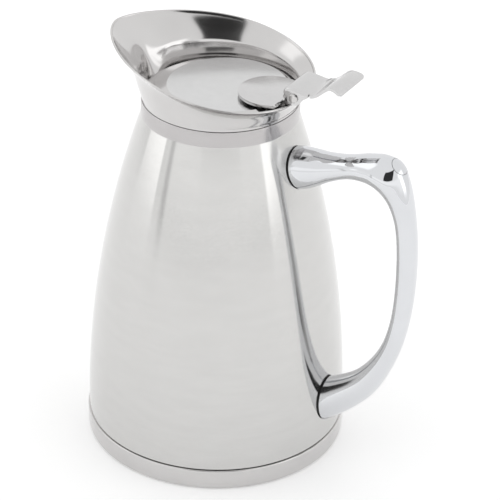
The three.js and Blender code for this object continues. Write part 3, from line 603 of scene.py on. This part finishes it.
def makeLever():
    s = leverSizes
    pinX, pinZ = s["pin"]
    padX, padRadius = s["pad"]
    notchX, notchY, notchRadius = s["notch"]
    foldStart, foldEnd, foldY = s["fold"]
    path = leverPath()
    cornerStart, cornerMiddle, cornerEnd = s["padCorner"]
    touch = math.degrees(math.atan2(cornerStart[1], cornerStart[0] - padX))
    outline = arcPoints(padX, 0, padRadius, 180, touch, 40)
    outline += bezierPoints(cornerStart, cornerMiddle, cornerMiddle, cornerEnd, 8)[1:]
    outline += arcPoints(notchX, notchY, notchRadius, 180, 360, 12)
    outline += [(foldStart, foldY - s["foldRound"]), (foldEnd, foldY - s["foldRound"])]
    outline += bezierPoints(*s["barSide"], 14)
    outline += [(s["end"][0] - 0.25, s["barSide"][3][1] - 0.15), (s["end"][0], s["barEnd"]), (s["end"][0], 0)]
    bm = bmesh.new()
    bm.faces.new([bm.verts.new((x, y, 0)) for x, y in outline])
    for x, _ in path[1:-1]:
        everything = bm.verts[:] + bm.edges[:] + bm.faces[:]
        bmesh.ops.bisect_plane(bm, geom=everything, dist=1e-5, plane_co=(x, 0, 0), plane_no=(1, 0, 0))
    bmesh.ops.remove_doubles(bm, verts=bm.verts, dist=1e-3)
    for vert in bm.verts:
        vert.co.z = leverHeight(path, vert.co.x)

    def onFold(vert):
        besides = abs(vert.co.y - foldY + s["foldRound"])
        return besides < 1e-4 and foldStart - 1e-4 < vert.co.x < foldEnd + 1e-4

    def growRow(edges, placeOf):
        grown = bmesh.ops.extrude_edge_only(bm, edges=edges)["geom"]
        fresh = {g for g in grown if isinstance(g, bmesh.types.BMVert)}
        for vert in fresh:
            vert.co = placeOf(vert.co.x)
        return [g for g in grown if isinstance(g, bmesh.types.BMEdge) and all(v in fresh for v in g.verts)]

    row = [e for e in bm.edges if onFold(e.verts[0]) and onFold(e.verts[1])]
    for turn in (math.radians(degrees) for degrees in s["foldTurns"]):
        out, down = s["foldRound"] * math.sin(turn), s["foldRound"] * (1 - math.cos(turn))
        row = growRow(row, lambda x: (x, foldY - s["foldRound"] + out, leverHeight(path, x) - down))
    span = (foldStart, foldEnd)
    for rise in s["earRows"]:
        left, right = earBounds(rise)
        stretch = (right - left) / (span[1] - span[0])
        row = growRow(row, lambda x: (pinX + left + (x - span[0]) * stretch, foldY, pinZ + rise))
        span = (pinX + left, pinX + right)
    bmesh.ops.mirror(bm, geom=bm.verts[:] + bm.edges[:] + bm.faces[:], axis="Y", merge_dist=1e-3)
    bmesh.ops.remove_doubles(bm, verts=bm.verts, dist=1e-3)
    bmesh.ops.recalc_face_normals(bm, faces=bm.faces)
    return bm


lever = makePiece("lever", makeLever(), "thumb_lever", "lid", [leverSteel], sharpDegrees=40)
thickness = lever.modifiers.new("thickness", "SOLIDIFY")
thickness.thickness = leverSizes["sheet"] * mm
thickness.offset = 0
thickness.use_even_offset = True
softEdge = lever.modifiers.new("softEdge", "BEVEL")
softEdge.width = leverSizes["edge"] * mm
softEdge.segments = 2
softEdge.limit_method = "ANGLE"
softEdge.angle_limit = math.radians(50)

# hinge pin, lying along Y with a low domed head at each end
pinSizes = {
    "bore": 1.3, "boreReach": 15, "shank": 1.2, "headStart": 9.4, "head": 1.9, "rim": 9.75, "crown": 10.2,
    "crownFlat": 0.6,
}


def makePin():
    s = pinSizes
    end = [(s["shank"], s["headStart"]), (s["head"], s["headStart"]), (s["head"], s["rim"])]
    crown = bezierPoints((s["head"], s["rim"]), (s["head"], s["crown"]), (s["head"] * s["crownFlat"], s["crown"]),
                         (0, s["crown"]), 8)
    half = end + crown[1:]
    bm = spun([(r, -z) for r, z in half[::-1]] + half, steps=48)
    bmesh.ops.rotate(bm, cent=(0, 0, 0), matrix=Matrix.Rotation(math.radians(90), 3, "X"), verts=bm.verts)
    bmesh.ops.translate(bm, vec=(leverSizes["pin"][0], 0, leverSizes["pin"][1]), verts=bm.verts)
    return bm


makePiece("pin", makePin(), "hinge_pin", "lid", [polishedSteel])

# hinge bracket: a rolled knuckle on a tang that follows the inside of the collar's back
bracketSizes = {
    "knuckle": 2.4, "knuckleFrom": -118, "knuckleTo": 172, "half": 7.8, "steps": 8, "gap": 0.3, "foot": 161.5,
    "wallTop": 168.0, "jugTop": 169.6, "bendRadius": 36, "bendStart": 2, "bendBlend": 2.5,
}


def tangLine(depth):
    c = collarSizes
    top = c["back"][0] - c["sheet"] - depth
    line = flareLine((c["ledgeOutside"] - depth, c["ledge"]), (top, c["back"][2]))
    return [(x, z) for x, z in line if z > bracketSizes["foot"]], top


def makeBracket():
    s = bracketSizes
    pinX, pinZ = leverSizes["pin"]
    wallSide, wallX = tangLine(s["gap"])
    jugSide, jugX = tangLine(s["gap"] + collarSizes["sheet"])
    knuckle = arcPoints(pinX, pinZ, s["knuckle"], s["knuckleFrom"], s["knuckleTo"], 28)
    outline = wallSide + [(wallX, s["wallTop"])] + knuckle + [(jugX, s["jugTop"])] + jugSide[::-1]
    bm = bmesh.new()
    section = bm.faces.new([bm.verts.new((x, -s["half"], z)) for x, z in outline])
    edges = section.edges[:]
    for _ in range(s["steps"]):
        grown = bmesh.ops.extrude_edge_only(bm, edges=edges)["geom"]
        verts = [g for g in grown if isinstance(g, bmesh.types.BMVert)]
        bmesh.ops.translate(bm, vec=(0, 2 * s["half"] / s["steps"], 0), verts=verts)
        level = verts[0].co.y
        edges = [g for g in grown if isinstance(g, bmesh.types.BMEdge)
                 and all(abs(v.co.y - level) < 1e-4 for v in g.verts)]
    bmesh.ops.edgeloop_fill(bm, edges=edges)
    for vert in bm.verts:
        share = min(1, max(0, (pinZ - s["bendStart"] - vert.co.z) / s["bendBlend"]))
        vert.co.x -= share * vert.co.y ** 2 / (2 * s["bendRadius"])
    bmesh.ops.recalc_face_normals(bm, faces=bm.faces)
    return bm


bracket = makePiece("bracket", makeBracket(), "hinge_bracket", "jug", [polishedSteel])


# the pin's holes in the ears and the knuckle
def pinBar():
    x, z = leverSizes["pin"]
    reach = pinSizes["boreReach"]
    return cutBar(pinSizes["bore"], Vector((x, -reach, z)), Vector((x, reach, z)))


for piece in (lever, bracket):
    cutPiece(piece, pinBar(), sharpDegrees=40)

# cast handle: elliptical sections between an outer and an inner edge, given at stations
handleSizes = {
    "armHeight": 134.9, "armEnd": 9.2, "armEndWidth": 8.5, "armWaist": 5.0, "armWidth": 6.4,
    "elbowReach": 24, "elbowRadius": 14.9, "cornerReach": 39.8, "cornerDrop": 5, "cornerRadius": 9.6,
    "cornerWidth": 8.5, "gripReach": 88.22, "gripHeight": 101, "gripDepth": 4.1, "gripWidth": 5.5, "gripBow": 1.8,
    "gripUpper": 22, "gripLower": 25, "footHeight": 29.5, "footDepth": 9.7, "footWidth": 8.3,
    "flat": (0, 0, 0, 0, 0, 0.035, 0.07, 0.07, 0.05, 0.01, 0, 0, 0, 0, 0, 0),
    "jointGap": 0.7, "rimDepth": 1.2, "rimWidth": 1.6, "upperSearch": (0, 0.2), "lowerSearch": (1, 0.8),
    "sides": 64, "steps": 170, "plugRadius": 3.75, "plugGap": 0.15, "plugPlace": 35, "plugDepth": 6,
    "plugFloorGap": 0.2, "barLength": 40,
}
armSlope = math.asin((handleSizes["armHeight"] - shellSizes["curveStart"]) / wallArc)


def inArm(reach, rise):
    s = handleSizes
    foot = Vector((wallRadius(s["armHeight"]), 0, s["armHeight"]))
    along = Vector((math.cos(armSlope), 0, math.sin(armSlope)))
    above = Vector((-math.sin(armSlope), 0, math.cos(armSlope)))
    return foot + along * reach + above * rise


def handleStations():
    s = handleSizes

    def polar(radius, degrees):
        return radius * math.cos(math.radians(degrees)), radius * math.sin(math.radians(degrees))

    def arm(reach, share):
        radius = s["armWaist"] + share * (s["armEnd"] - s["armWaist"])
        width = s["armWidth"] + share * (s["armEndWidth"] - s["armWidth"])
        return inArm(reach, radius), inArm(reach, -radius), width

    def bend(cornerDegrees, elbowDegrees, width):
        out, up = polar(s["cornerRadius"], cornerDegrees)
        inOut, inUp = polar(s["elbowRadius"], elbowDegrees)
        outer = inArm(s["cornerReach"] + out, up - s["cornerDrop"])
        return outer, inArm(s["elbowReach"] + inOut, inUp - s["armWaist"] - s["elbowRadius"]), width

    def section(x, z, depth, leanDegrees, width):
        out, down = polar(depth, leanDegrees)
        return Vector((x + out, 0, z - down)), Vector((x - out, 0, z + down)), width

    footRadius = wallRadius(s["footHeight"])
    lowerX, lowerZ = s["gripReach"] - s["gripBow"], s["gripHeight"] - s["gripLower"]

    def towardsFoot(shareX, shareZ, swell, leanDegrees):
        x = footRadius + shareX * (lowerX - footRadius)
        z = s["footHeight"] + shareZ * (lowerZ - s["footHeight"])
        depth = s["gripDepth"] + swell * (s["footDepth"] - s["gripDepth"])
        width = s["gripWidth"] + swell * (s["footWidth"] - s["gripWidth"])
        return section(x, z, depth, leanDegrees, width)

    reach, waist, corner = s["elbowReach"], s["armWaist"], s["cornerWidth"]
    start = bend(0, 60, 0.5 * (s["armWidth"] + corner))
    return [
        arm(-3, 1), arm(0.13 * reach, 0.93), arm(0.36 * reach, 0.64), arm(0.62 * reach, 0.25), arm(reach, 0),
        (inArm(0.85 * s["cornerReach"], 1.06 * waist), start[1], start[2]),
        bend(80, 44, corner), bend(39, 28, corner), bend(-11, 10, 0.5 * (s["gripWidth"] + corner)),
        section(s["gripReach"] - 0.9 * s["gripBow"], s["gripHeight"] + s["gripUpper"], 1.05 * s["gripDepth"],
                -12, 1.03 * s["gripWidth"]),
        section(s["gripReach"], s["gripHeight"], s["gripDepth"], 0, s["gripWidth"]),
        section(lowerX, lowerZ, 0.95 * s["gripDepth"], 10, s["gripWidth"]),
        towardsFoot(0.85, 0.64, 0.05, 22), towardsFoot(0.56, 0.3, 0.37, 40), towardsFoot(0.23, 0.1, 0.68, 49),
        towardsFoot(-0.1, -0.04, 1, 62),
    ]


# a smooth curve through the stations, with knots spaced by the root of their distance
def throughPoints(points, share, even=False):
    last = len(points) - 1
    place = min(max(share, 0), 1) * last
    k = min(int(place), last - 1)
    w = place - k
    b, c = points[k], points[k + 1]
    if even:
        a, d = points[max(k - 1, 0)], points[min(k + 2, last)]
        out, into = (c - a) / 2, (d - b) / 2
    else:
        a = points[k - 1] if k > 0 else b * 2 - c
        d = points[k + 2] if k + 2 <= last else c * 2 - b
        t0, t1, t2 = (math.sqrt((q - p).length) for p, q in ((a, b), (b, c), (c, d)))
        out = ((b - a) / t0 - (c - a) / (t0 + t1) + (c - b) / t1) * t1
        into = ((c - b) / t1 - (d - b) / (t1 + t2) + (d - c) / t2) * t1
    return b + out * w + ((c - b) * 3 - out * 2 - into) * w ** 2 + ((b - c) * 2 + out + into) * w ** 3


stations = handleStations()
outerEdge = [station[0] for station in stations]
innerEdge = [station[1] for station in stations]
halfWidths = [station[2] for station in stations]


def handlePoint(share, turn, swell=0):
    far, near = throughPoints(outerEdge, share), throughPoints(innerEdge, share)
    middle, half = (far + near) / 2, (far - near) / 2
    scale = 1 - throughPoints(handleSizes["flat"], share, True) * math.sin(2 * turn) ** 2
    half = half * (1 + swell / half.length)
    point = middle + half * scale * math.cos(turn)
    point.y = (throughPoints(halfWidths, share, True) + swell) * scale * math.sin(turn)
    return point


# distance of a point from the shell
def clearOfShell(point):
    rise = max(0, point.z - shellSizes["curveStart"])
    return math.hypot(math.hypot(point.x, point.y) - wallCentre, rise) - wallArc


# the number between two at which a measure comes to a wanted value
def findPlace(measure, wanted, inside, outside):
    for _ in range(40):
        middle = (inside + outside) / 2
        if measure(middle) < wanted:
            inside = middle
        else:
            outside = middle
    return (inside + outside) / 2


def ringFrom(bm, edges, places):
    grown = bmesh.ops.extrude_edge_only(bm, edges=edges)["geom"]
    order = bm.verts.layers.int["order"]
    verts = [g for g in grown if isinstance(g, bmesh.types.BMVert)]
    for vert in verts:
        vert.co = places[vert[order]]
    fresh = set(verts)
    return [g for g in grown if isinstance(g, bmesh.types.BMEdge) and all(v in fresh for v in g.verts)]


def firstRing(bm, places):
    order = bm.verts.layers.int.new("order")
    ring = bmesh.ops.create_circle(bm, segments=len(places), radius=1)["verts"]
    for i, vert in enumerate(ring):
        vert[order] = i
        vert.co = places[i]
    return bm.edges[:]


sectionTurns = [2 * math.pi * i / handleSizes["sides"] for i in range(handleSizes["sides"])]


# for each point of a section, the share of the handle's length at which it clears the shell by a wanted gap
def sharesAt(wanted, inside, outside):
    return [findPlace(lambda share: clearOfShell(handlePoint(share, turn)), wanted, inside, outside)
            for turn in sectionTurns]


def makeHandle():
    s = handleSizes
    starts, ends = (sharesAt(s["jointGap"], *s[key]) for key in ("upperSearch", "lowerSearch"))
    bm = bmesh.new()
    edges = None
    for step in range(s["steps"] + 1):
        along = step / s["steps"]
        places = [handlePoint(first + (last - first) * along, turn)
                  for turn, first, last in zip(sectionTurns, starts, ends)]
        edges = ringFrom(bm, edges, places) if edges else firstRing(bm, places)
        if step == 0:
            firstEdges = edges
    inner = [v for v in bm.verts if not v.is_boundary]
    for _ in range(2):
        bmesh.ops.smooth_vert(bm, verts=inner, factor=0.5, use_axis_x=True, use_axis_y=True, use_axis_z=True)
    for rim, search in ((firstEdges, s["upperSearch"]), (edges, s["lowerSearch"])):
        shares = sharesAt(s["jointGap"] + s["rimDepth"], *search)
        places = [handlePoint(share, turn, -s["rimWidth"]) for share, turn in zip(shares, sectionTurns)]
        bmesh.ops.edgeloop_fill(bm, edges=ringFrom(bm, rim, places))
    bmesh.ops.recalc_face_normals(bm, faces=bm.faces)
    return bm


# the plug's bar stands square to the corner
def cornerBar(radius, depth):
    s = handleSizes
    place = math.radians(s["plugPlace"])

    def along(out):
        return inArm(s["cornerReach"] + out * math.cos(place), out * math.sin(place) - s["cornerDrop"])

    inner = s["cornerRadius"] - depth
    return cutBar(radius, along(inner), along(inner + s["barLength"]))


castHandle = makePiece("cast_handle", makeHandle(), "handle", "jug", [chrome])
plug = makePiece("plug", makeHandle(), "handle_plug", "jug", [chrome])
plugHole = handleSizes["plugRadius"] + handleSizes["plugGap"]
plugInside = handleSizes["plugDepth"] - handleSizes["plugFloorGap"]
cutPiece(castHandle, cornerBar(plugHole, handleSizes["plugDepth"]))
cutPiece(plug, cornerBar(handleSizes["plugRadius"], plugInside), "INTERSECT")

# sockets in the casting for the boss, the screw's shank and head, and the lug, as (radius, from, to)
socketSizes = {"boss": (4.8, -6, 9.3), "shank": (2.3, 0, 32), "head": (3.7, 31, 41), "lug": (3.9, -4, 8.3)}
lugFoot = Vector((wallRadius(handleSizes["footHeight"]), 0, handleSizes["footHeight"]))
for socketName, (radius, *ends) in socketSizes.items():
    places = [lugFoot + Vector((end, 0, 0)) if socketName == "lug" else inArm(end, 0) for end in ends]
    cutPiece(castHandle, cutBar(radius, *places))
print("casting cut for plug and fasteners:", len(castHandle.data.polygons), "faces")

# joint rings between the casting's ends and the shell
ringSizes = {"from": 0.1, "to": 0.55, "shy": 0.15, "boreShare": 0.58, "search": (0, 8)}


def makeJointRing(back, search):
    s = ringSizes
    bm = bmesh.new()
    shares = sharesAt(s["to"], *search)
    fronts = [handlePoint(share, turn, -s["shy"]) for share, turn in zip(shares, sectionTurns)]
    centre = sum(fronts, Vector()) / len(fronts)
    bores = [centre.lerp(p, s["boreShare"]) for p in fronts]

    def onShell(point):
        return point + back * findPlace(lambda d: -clearOfShell(point + back * d), -s["from"], *s["search"])

    firstEdges = edges = firstRing(bm, [onShell(p) for p in fronts])
    for places in (fronts, bores, [onShell(p) for p in bores]):
        edges = ringFrom(bm, edges, places)
    bmesh.ops.bridge_loops(bm, edges=edges + firstEdges)
    bmesh.ops.recalc_face_normals(bm, faces=bm.faces)
    return bm


makePiece("upper_ring", makeJointRing(inArm(0, 0) - inArm(1, 0), handleSizes["upperSearch"]), "upper_gasket", "jug",
          [blackRubber])
makePiece("lower_ring", makeJointRing(Vector((-1, 0, 0)), handleSizes["lowerSearch"]), "lower_gasket", "jug",
          [blackRubber])

# nodes that stay as they are get their finish
hiddenFinishes = {
    "jacket_bottom": plainSteel, "vacuum_seal_plug": plainSteel, "getter": plainSteel,
    "lid_insulation": paleFoam, "handle_screw": plainSteel, "screw_washer": plainSteel, "upper_boss": plainSteel,
    "lower_boss": plainSteel,
}
for nodeName, material in hiddenFinishes.items():
    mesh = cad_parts[nodeName].data
    mesh.materials.clear()
    mesh.materials.append(material)

# floor
floorSizes = {"half": 0.8, "colour": (0.9, 0.9, 0.9, 1), "glow": 0.25}


def makeFloor():
    bm = bmesh.new()
    bmesh.ops.create_grid(bm, x_segments=1, y_segments=1, size=floorSizes["half"])
    mesh = bpy.data.meshes.new("floor")
    bm.to_mesh(mesh)
    bm.free()
    floor = bpy.data.objects.new("floor", mesh)
    scene.collection.objects.link(floor)
    material, tree, shader = newMaterial("paleFloor", 0)
    shader.inputs["Base Color"].default_value = floorSizes["colour"]
    shader.inputs["Roughness"].default_value = 1
    shader.inputs["Specular IOR Level"].default_value = 0
    shader.inputs["Emission Color"].default_value = (1, 1, 1, 1)
    shader.inputs["Emission Strength"].default_value = floorSizes["glow"]
    mesh.materials.append(material)


makeFloor()

# studio: a white room whose cards add or take light: soft boxes left and right, and a dark place for the camera
studioCards = {
    "leftBox": {"azimuth": -153, "half": 16, "low": -6, "high": 12, "soft": (1.2, 6), "level": 0.62},
    "leftTop": {"azimuth": -158, "half": 16, "low": 30, "high": 58, "soft": (5, 6), "level": 0.4},
    "leftEdge": {"azimuth": -125, "half": 3, "low": -9, "high": 14, "soft": (2.5, 4), "level": -0.35},
    "rightBox": {"azimuth": 5, "half": 9, "low": -4, "high": 10, "soft": (1.6, 5), "level": 0.62},
    "rightTop": {"azimuth": 9, "half": 19, "low": 11, "high": 26, "soft": (5, 4), "level": 0.6},
    "frontLow": {"azimuth": -60, "half": 70, "low": -2, "high": 11, "soft": (12, 4), "level": 0.18},
    "cameraSide": {"azimuth": -59, "half": 26, "low": 15, "high": 53, "soft": (1, 1.5), "level": -0.96},
}


def makeStudio():
    world = bpy.data.worlds.new("studio")
    scene.world = world
    world.use_nodes = True
    tree = world.node_tree
    tree.nodes.clear()
    place = addNode(tree, "ShaderNodeTexCoord")
    axes = addNode(tree, "ShaderNodeSeparateXYZ")
    tree.links.new(place.outputs["Generated"], axes.inputs[0])
    azimuth = mathNode(tree, "ARCTAN2", axes.outputs["Y"], axes.outputs["X"])
    elevation = mathNode(tree, "ARCSINE", axes.outputs["Z"])

    def ramp(source, start, end):
        values = {"From Min": start, "From Max": end}
        node = addNode(tree, "ShaderNodeMapRange", values, interpolation_type="SMOOTHSTEP")
        tree.links.new(source, node.inputs["Value"])
        return node.outputs["Result"]

    level = None
    for card in studioCards.values():
        softAside, softUp = (math.radians(value) for value in card["soft"])
        aside = addNode(tree, "ShaderNodeMath", operation="WRAP")
        tree.links.new(mathNode(tree, "SUBTRACT", azimuth, math.radians(card["azimuth"])), aside.inputs[0])
        aside.inputs[1].default_value = math.pi
        aside.inputs[2].default_value = -math.pi
        beside = mathNode(tree, "ABSOLUTE", aside.outputs[0])
        half, low, high = (math.radians(card[key]) for key in ("half", "low", "high"))
        mask = ramp(beside, half + softAside, half - softAside)
        mask = mathNode(tree, "MULTIPLY", mask, ramp(elevation, low - softUp, low + softUp))
        mask = mathNode(tree, "MULTIPLY", mask, ramp(elevation, high + softUp, high - softUp))
        added = mathNode(tree, "MULTIPLY", mask, card["level"])
        level = mathNode(tree, "ADD", added, 1.0 if level is None else level)
    rays = addNode(tree, "ShaderNodeLightPath")
    seen = addNode(tree, "ShaderNodeBackground", {"Color": (1, 1, 1, 1), "Strength": 1})
    room = addNode(tree, "ShaderNodeBackground", {"Color": (1, 1, 1, 1)})
    tree.links.new(level, room.inputs["Strength"])
    either = addNode(tree, "ShaderNodeMixShader")
    tree.links.new(rays.outputs["Is Camera Ray"], either.inputs[0])
    tree.links.new(room.outputs[0], either.inputs[1])
    tree.links.new(seen.outputs[0], either.inputs[2])
    output = addNode(tree, "ShaderNodeOutputWorld")
    tree.links.new(either.outputs[0], output.inputs["Surface"])


makeStudio()

# camera: the photograph's long lens, a little above the rim and turned off the handle's plane
cameraSizes = {
    "focalPixels": 2532.9, "picture": 500, "sensor": 36, "distance": 1071.8, "azimuth": 29,
    "elevation": 30.043, "roll": 1.35, "aimAside": 13.46, "aimHeight": 84.92,
}


def makeCamera():
    s = cameraSizes
    turn, tilt, roll = (math.radians(s[key]) for key in ("azimuth", "elevation", "roll"))
    aside = Vector((math.cos(turn), math.sin(turn), 0))
    away = Vector((-math.sin(turn), math.cos(turn), 0))
    forward = away * math.cos(tilt) - Vector((0, 0, math.sin(tilt)))
    lifted = away * math.sin(tilt) + Vector((0, 0, math.cos(tilt)))
    right = aside * math.cos(roll) + lifted * math.sin(roll)
    up = lifted * math.cos(roll) - aside * math.sin(roll)
    place = aside * s["aimAside"] + Vector((0, 0, s["aimHeight"])) - forward * s["distance"]
    camera = bpy.data.cameras.new("camera")
    camera.sensor_fit = "HORIZONTAL"
    camera.sensor_width = s["sensor"]
    camera.lens = s["sensor"] * s["focalPixels"] / s["picture"]
    camera.clip_start = 0.05
    camera.clip_end = 20
    holder = bpy.data.objects.new("camera", camera)
    scene.collection.objects.link(holder)
    turned = Matrix((right, up, -forward)).transposed().to_4x4()
    holder.matrix_world = Matrix.Translation(place * mm) @ turned
    scene.camera = holder


makeCamera()
print("studio and camera set")
